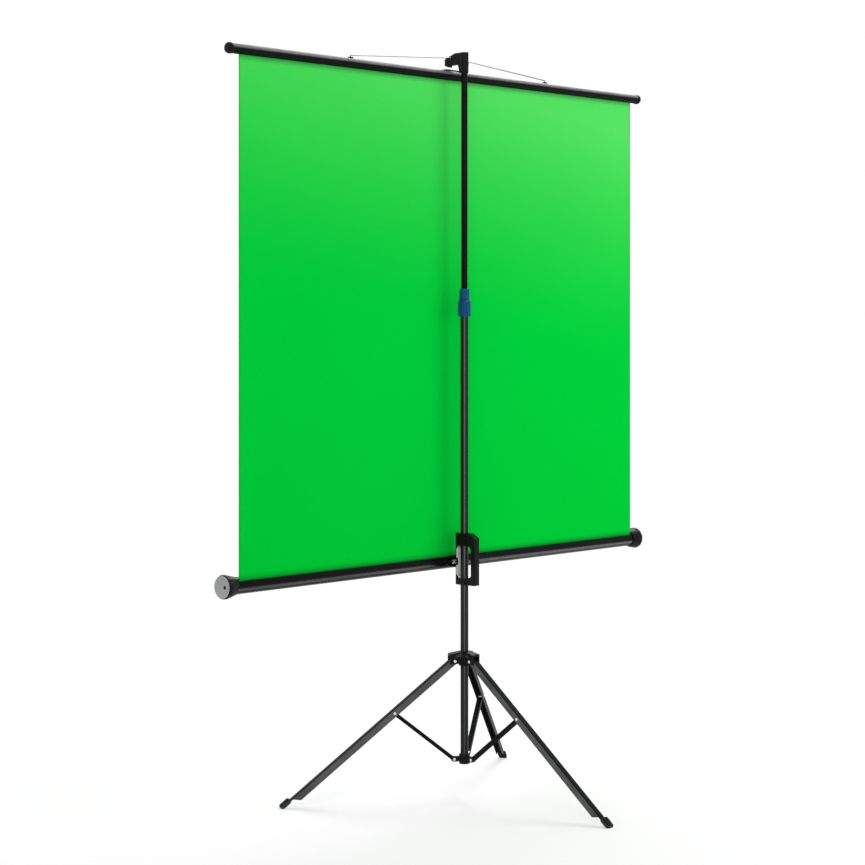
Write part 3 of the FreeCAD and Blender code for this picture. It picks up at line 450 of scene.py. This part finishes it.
for finish, names in FINISHES.items():
    for name in names:
        nodes[name].data.materials.clear()
        nodes[name].data.materials.append(finish)


# sheet

def add_cloth(name, columns, rows, place_at):
    """A grid of cloth, laid where place_at says for a place across and a share of the length."""
    deselect()
    bpy.ops.mesh.primitive_grid_add(x_subdivisions=columns, y_subdivisions=rows, size=1.0)
    piece = bpy.context.object
    piece.name = name
    for vertex in piece.data.vertices:
        across, along, _ = vertex.co
        vertex.co = place_at(across * SHEET_WIDTH, along + 0.5)
    solid = piece.modifiers.new("cloth", "SOLIDIFY")
    solid.thickness = SHEET_THICK
    solid.offset = 0.0
    bpy.ops.object.modifier_apply(modifier=solid.name)
    piece.data.materials.append(green_cloth)
    bpy.ops.object.shade_smooth_by_angle(angle=CLOTH_SMOOTH)
    return piece


def make_sheet_half(name, low, high):
    """One half of the taut, flat sheet between two heights."""
    def place_at(across, share):
        return Vector((across, SCREEN_Y, low + share * (high - low)))

    piece = add_cloth(name, SHEET_COLUMNS, SHEET_ROWS, place_at)
    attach(piece, "stand")
    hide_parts("screen_fabric")
    return piece


upper_sheet = make_sheet_half("sheet_upper", SHEET_SPLIT, SHEET_HIGH)
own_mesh(upper_sheet)


# turns of cloth left on the roller

ROLLER_BEHIND = 0.06255
ROLLER_Y = MAST_Y + ROLLER_BEHIND
ROLLER_Z = 0.744
WRAP_INNER = 0.0143
WRAP_OUTER = 0.0157
WRAP_TURNS = 2.5
WRAP_COLUMNS = 12
WRAP_STEPS = 120


def make_wound_cloth():
    """The last turns of the sheet as one spiral strip, its outer end at the sheet's foot."""
    def place_at(across, share):
        radius = WRAP_INNER + (WRAP_OUTER - WRAP_INNER) * share
        turn = math.pi - 2 * math.pi * WRAP_TURNS * (1 - share)
        return Vector((across, ROLLER_Y + radius * math.cos(turn), ROLLER_Z + radius * math.sin(turn)))

    piece = add_cloth("sheet_turns", WRAP_COLUMNS, WRAP_STEPS, place_at)
    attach(piece, "roller")
    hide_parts("fabric_wrap")
    return piece


sheet_turns = make_wound_cloth()
lower_sheet = make_sheet_half("sheet_lower", SHEET_LOW, SHEET_SPLIT)
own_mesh(lower_sheet)


# rounded edges on the moulded and stamped pieces

BODIES = frame["record"]["behaviour"]["bodies"]
BODY_OF = {node: body for body, members in BODIES.items() for node in members}
CAD_MERGE = 0.00001
CAD_FLAT = math.radians(0.5)
EDGE_STEPS = 3
EDGE_DEGREES = 38.0


def stand_for(piece, node, finish):
    """Give a piece its finish and put it in a CAD node's place."""
    piece.data.materials.clear()
    piece.data.materials.append(finish)
    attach(piece, BODY_OF[node])
    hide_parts(node)


def copy_of(node, name):
    """A copy of a CAD node's mesh with its loose triangles joined into flat faces."""
    piece = bpy.data.objects.new(name, nodes[node].data.copy())
    bpy.context.scene.collection.objects.link(piece)
    take_up(piece)
    bpy.ops.object.mode_set(mode="EDIT")
    bpy.ops.mesh.select_all(action="SELECT")
    bpy.ops.mesh.remove_doubles(threshold=CAD_MERGE)
    bpy.ops.mesh.dissolve_limited(angle_limit=CAD_FLAT)
    bpy.ops.object.mode_set(mode="OBJECT")
    return piece


def round_off(piece, width, steps=EDGE_STEPS, sharper_than=EDGE_DEGREES):
    """Bevel every edge that is sharper than an angle, and smooth the rest."""
    take_up(piece)
    bevel = piece.modifiers.new("edges", "BEVEL")
    bevel.width = width
    bevel.segments = steps
    bevel.limit_method = "ANGLE"
    bevel.angle_limit = math.radians(sharper_than)
    bpy.ops.object.modifier_apply(modifier=bevel.name)
    bpy.ops.object.shade_smooth_by_angle(angle=EDGE_SMOOTH)


def add_block(name, size, middle):
    """A block of a size about its middle, with its place in its mesh."""
    deselect()
    bpy.ops.mesh.primitive_cube_add(size=1.0, location=middle)
    block = bpy.context.object
    block.name = name
    block.scale = size
    bpy.ops.object.transform_apply(location=True, rotation=True, scale=True)
    return block


def combine(piece, other, operation):
    """Join another shape to a piece, cut it out, or keep what both share, and use the other up."""
    take_up(piece)
    joint = piece.modifiers.new("joint", "BOOLEAN")
    joint.operation = operation
    joint.solver = "EXACT"
    joint.object = other
    bpy.ops.object.modifier_apply(modifier=joint.name)
    bpy.data.objects.remove(other)


SOFT_EDGES = {
    moulding: {"leg_hub": 0.0025, "foot_collar": 0.001, "top_hook": 0.0014,
               "pull_grip": 0.0015, "case_saddle": 0.0008, "wire_clip_left": 0.0008,
               "wire_clip_right": 0.0008, "end_cap_left": 0.0006, "end_cap_right": 0.0006},
    blue: {"lock_sleeve": 0.0006, "lock_body": 0.0006},
    grey_rocker: {"lock_rocker": 0.0012},
    zinc: {"rocker_pin": 0.001},
}
for finish, widths in SOFT_EDGES.items():
    for node, width in widths.items():
        shaped = copy_of(node, f"{node}_shape")
        round_off(shaped, width)
        stand_for(shaped, node, finish)

DISC_HOLE_D = 0.0115
DISC_HOLE_SHIFT = 0.0135
DISC_HOLE_SIDES = 48
DISC_DRILL = 0.05
DISC_EDGE = 0.0006


def make_end_disc(node):
    """An end disc whose key hole is drilled out to the size that the photo shows."""
    disc = copy_of(node, f"{node}_shape")
    low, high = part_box(node)
    deselect()
    bpy.ops.mesh.primitive_cylinder_add(
        vertices=DISC_HOLE_SIDES, radius=DISC_HOLE_D / 2, depth=DISC_DRILL, rotation=(0, math.pi / 2, 0),
        location=((low[0] + high[0]) / 2, ROLLER_Y - DISC_HOLE_SHIFT, ROLLER_Z))
    combine(disc, bpy.context.object, "DIFFERENCE")
    round_off(disc, DISC_EDGE)
    stand_for(disc, node, grey_disc)


for node in ("end_disc_left", "end_disc_right"):
    make_end_disc(node)

wire = copy_of("hanger_wire", "hanger_wire_shape")
bpy.ops.object.shade_smooth_by_angle(angle=WIRE_SMOOTH)
stand_for(wire, "hanger_wire", wire_steel)

BRACKET_HALF = 0.016
BRACKET_EDGE = 0.0012
CORNER_CUT = 0.0115
COLLAR_SPANS = ((0.664, 0.694), (0.794, 0.838))


def make_bracket():
    """The sliding frame, with two corners of each of its collars cut off slantwise."""
    bracket = copy_of("bracket_frame", "bracket_frame_shape")
    _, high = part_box("bracket_frame")
    wide = CORNER_CUT * math.sqrt(2)
    slantwise = Matrix.Rotation(math.radians(45), 4, "Z")
    for bottom, top in COLLAR_SPANS:
        for side in (-1, 1):
            corner = (side * BRACKET_HALF, high[1], (bottom + top) / 2)
            wedge = add_block("wedge", (wide, wide, top - bottom), (0, 0, 0))
            wedge.data.transform(Matrix.Translation(corner) @ slantwise)
            combine(bracket, wedge, "DIFFERENCE")
    round_off(bracket, BRACKET_EDGE)
    stand_for(bracket, "bracket_frame", moulding)


make_bracket()

BAR_CAP_EDGE = 0.0022
BAR_CAP_STEPS = 4
BAR_CAP_DEGREES = 12.0
for node in ("bar_cap_left", "bar_cap_right"):
    shaped = copy_of(node, f"{node}_shape")
    round_off(shaped, BAR_CAP_EDGE, steps=BAR_CAP_STEPS, sharper_than=BAR_CAP_DEGREES)
    stand_for(shaped, node, moulding)


# rubber boots on the legs' tongues

LEG_AZIMUTHS = {"rear": 270.0, "right": 30.0, "left": 150.0}
LEG_TILT = math.radians(51.5)
PIVOT_RING = 0.036
STRUT_PIVOT = 0.120
KNEE_REACH = 0.250
HUB_PIVOT = STRUT_PIVOT + 2 * KNEE_REACH * math.cos(LEG_TILT)
LEG_WEB = 0.011
BOOT_LONG = 0.038
BOOT_WIDE = 0.027
BOOT_THICK = 0.015
BOOT_SOLE = 0.005
BOOT_ROUND = 0.0055
BOOT_STEPS = 4
BOOT_MERGE = 0.00002
BOOT_DEPTH = HUB_PIVOT + (LEG_WEB - BOOT_THICK / 2) * math.sin(LEG_TILT) + BOOT_SOLE
BOOT_END = BOOT_DEPTH / math.cos(LEG_TILT)
RIB_COUNT = 4
RIB_WIDE = 0.0024
RIB_PITCH = 0.0046
RIB_PROUD = 0.0006


def leg_axes(azimuth):
    """The CAD leg's own axes: X down the leg, Y along its pins, Z its upper side."""
    turn = math.radians(azimuth)
    out = Vector((math.cos(turn), math.sin(turn), 0))
    up = Vector((0, 0, 1))
    down_leg = out * math.sin(LEG_TILT) - up * math.cos(LEG_TILT)
    upper = out * math.cos(LEG_TILT) + up * math.sin(LEG_TILT)
    pins = upper.cross(down_leg)
    pivot = out * PIVOT_RING + up * HUB_PIVOT + Vector((0, MAST_Y, 0))
    rows = [(down_leg[i], pins[i], upper[i], pivot[i]) for i in range(3)]
    return Matrix((*rows, (0, 0, 0, 1)))


def make_boot(name, azimuth):
    """A ribbed rubber boot, cut flat where it stands on the floor."""
    boot = add_block(
        f"boot_{name}", (BOOT_LONG, BOOT_WIDE, BOOT_THICK), (BOOT_END - BOOT_LONG / 2, 0, LEG_WEB))
    round_off(boot, BOOT_ROUND, steps=BOOT_STEPS)
    first_rib = BOOT_END - BOOT_LONG + BOOT_ROUND + RIB_WIDE / 2
    proud = 2 * RIB_PROUD
    for i in range(RIB_COUNT):
        middle = (first_rib + i * RIB_PITCH, 0, LEG_WEB)
        rib = add_block("rib", (BOOT_LONG, BOOT_WIDE + proud, BOOT_THICK + proud), middle)
        round_off(rib, BOOT_ROUND + RIB_PROUD, steps=BOOT_STEPS)
        slice_of_rib = add_block("slice", (RIB_WIDE, 2 * BOOT_WIDE, 2 * BOOT_WIDE), middle)
        combine(rib, slice_of_rib, "INTERSECT")
        combine(boot, rib, "UNION")
    boot.data.transform(leg_axes(azimuth))
    take_up(boot)
    bpy.ops.object.mode_set(mode="EDIT")
    bpy.ops.mesh.select_all(action="SELECT")
    bpy.ops.mesh.bisect(plane_co=(0, 0, 0), plane_no=(0, 0, 1), use_fill=True, clear_inner=True)
    bpy.ops.mesh.select_all(action="SELECT")
    bpy.ops.mesh.remove_doubles(threshold=BOOT_MERGE)
    bpy.ops.mesh.dissolve_degenerate(threshold=BOOT_MERGE)
    bpy.ops.object.mode_set(mode="OBJECT")
    bpy.ops.object.shade_smooth_by_angle(angle=EDGE_SMOOTH)
    stand_for(boot, f"foot_{name}", rubber)


for leg_name, leg_azimuth in LEG_AZIMUTHS.items():
    make_boot(leg_name, leg_azimuth)


# floor, lights and camera

WHITE = (1, 1, 1, 1)
FLOOR_SIZE = 60.0
FLOOR_TONE = (0.82, 0.82, 0.82, 1)
FLOOR_NEAR = 0.5
FLOOR_FAR = 2.6
FLOOR_WHITE_NEAR = 0.5
WORLD_LIGHT = 0.55


def seen_rays(tree):
    """1 for rays that show the background: straight, mirrored or through glass."""
    rays = add_node(tree, "ShaderNodeLightPath").outputs
    seen = maths(tree, "MAXIMUM", rays["Is Camera Ray"], rays["Is Transmission Ray"])
    return maths(tree, "MAXIMUM", seen, rays["Is Glossy Ray"])


def make_floor_material():
    """Pale paint that takes the shadow near the object and is plain white further off."""
    mat, tree, shader = new_material(
        "pale_floor", Base_Color=FLOOR_TONE, Roughness=0.9, Specular_IOR_Level=0.0)
    place = add_node(tree, "ShaderNodeTexCoord").outputs["Object"]
    reach = add_node(tree, "ShaderNodeVectorMath", [(0, place)], operation="LENGTH").outputs["Value"]
    white = spread(
        tree, reach, FLOOR_WHITE_NEAR, 1.0, FLOOR_NEAR, FLOOR_FAR, interpolation_type="SMOOTHSTEP")
    share = maths(tree, "MULTIPLY", seen_rays(tree), white)
    glow = add_node(tree, "ShaderNodeEmission", [("Color", WHITE), ("Strength", 1.0)])
    mixed = add_node(
        tree, "ShaderNodeMixShader", [(0, share), (1, shader.outputs["BSDF"]), (2, glow.outputs["Emission"])])
    tree.links.new(mixed.outputs["Shader"], tree.nodes["Material Output"].inputs["Surface"])
    return mat


def make_stage():
    """A pale floor that fades to a white background."""
    deselect()
    bpy.ops.mesh.primitive_plane_add(size=FLOOR_SIZE)
    floor = bpy.context.object
    floor.name = "floor"
    floor.data.materials.append(make_floor_material())
    world = bpy.data.worlds.new("studio")
    world.use_nodes = True
    bpy.context.scene.world = world
    tree = world.node_tree
    background = tree.nodes["Background"]
    background.inputs["Color"].default_value = WHITE
    tree.links.new(spread(tree, seen_rays(tree), WORLD_LIGHT, 1.0), background.inputs["Strength"])


def aim(piece, place, direction):
    """Put a lamp or camera in the scene at a place, looking in a direction."""
    bpy.context.scene.collection.objects.link(piece)
    piece.location = place
    piece.rotation_euler = Vector(direction).to_track_quat("-Z", "Y").to_euler()


def add_lamp(name, place, towards, watts, size, tall=None, mirrored=True):
    """A soft lamp, which shiny paint shows only where it is mirrored."""
    light = bpy.data.lights.new(name, "AREA")
    light.shape = "RECTANGLE"
    light.energy = watts
    light.size = size
    light.size_y = tall or size
    lamp = bpy.data.objects.new(name, light)
    aim(lamp, place, Vector(towards) - Vector(place))
    lamp.visible_glossy = mirrored
    lamp.visible_camera = False
    return lamp


def add_glint(name, node, **lamp_sizes):
    """A strip lamp that only gives one tube the bright line along its paint."""
    lamp = add_lamp(name, **lamp_sizes)
    lamp.visible_diffuse = False
    lit = bpy.data.collections.new(f"{name}_lit")
    lit.objects.link(nodes[node])
    lamp.light_linking.receiver_collection = lit


def make_camera():
    """The camera that took the photograph, as fitted to it."""
    lens = bpy.data.cameras.new("photograph_view")
    lens.lens = CAMERA_LENS
    lens.sensor_width = CAMERA_SENSOR
    lens.sensor_fit = "HORIZONTAL"
    lens.shift_y = CAMERA_SHIFT_UP
    lens.clip_end = CAMERA_FAR
    camera = bpy.data.objects.new("photograph_view", lens)
    aim(camera, CAMERA_PLACE, CAMERA_TOWARDS)
    bpy.context.scene.camera = camera


make_stage()
add_lamp("key_left", place=(-4.0, -3.4, 4.2), towards=(0, 0, 1.3), watts=90.0, size=2.5)
add_lamp("fill_right", place=(3.5, -3.0, 2.6), towards=(0, 0, 1.2), watts=95.0, size=2.5, mirrored=False)
add_lamp("front_wash", place=(0.5, 4.5, 3.0), towards=(0, 0, 1.3), watts=55.0, size=3.0, mirrored=False)
add_lamp("bar_top", place=(3.24, 0.9, 5.4), towards=(0, 0.19, 2.29), watts=140.0, size=2.6)
add_lamp("bar_rim", place=(3.24, 2.3, 4.5), towards=(0, 0.19, 2.29), watts=90.0, size=2.0)
add_glint(
    "mast_glint", "mast_tube", place=(-3.3, -3.4, 0.9), towards=(0, MAST_Y, 0.9),
    watts=240.0, size=0.5, tall=1.8)
add_glint(
    "case_glint", "case_tube", place=(0.9, -0.35, 0.02), towards=(0.9, -0.35, 1.0),
    watts=42.0, size=3.0, tall=0.7)
make_camera()
bpy.context.scene.view_settings.view_transform = "Standard"
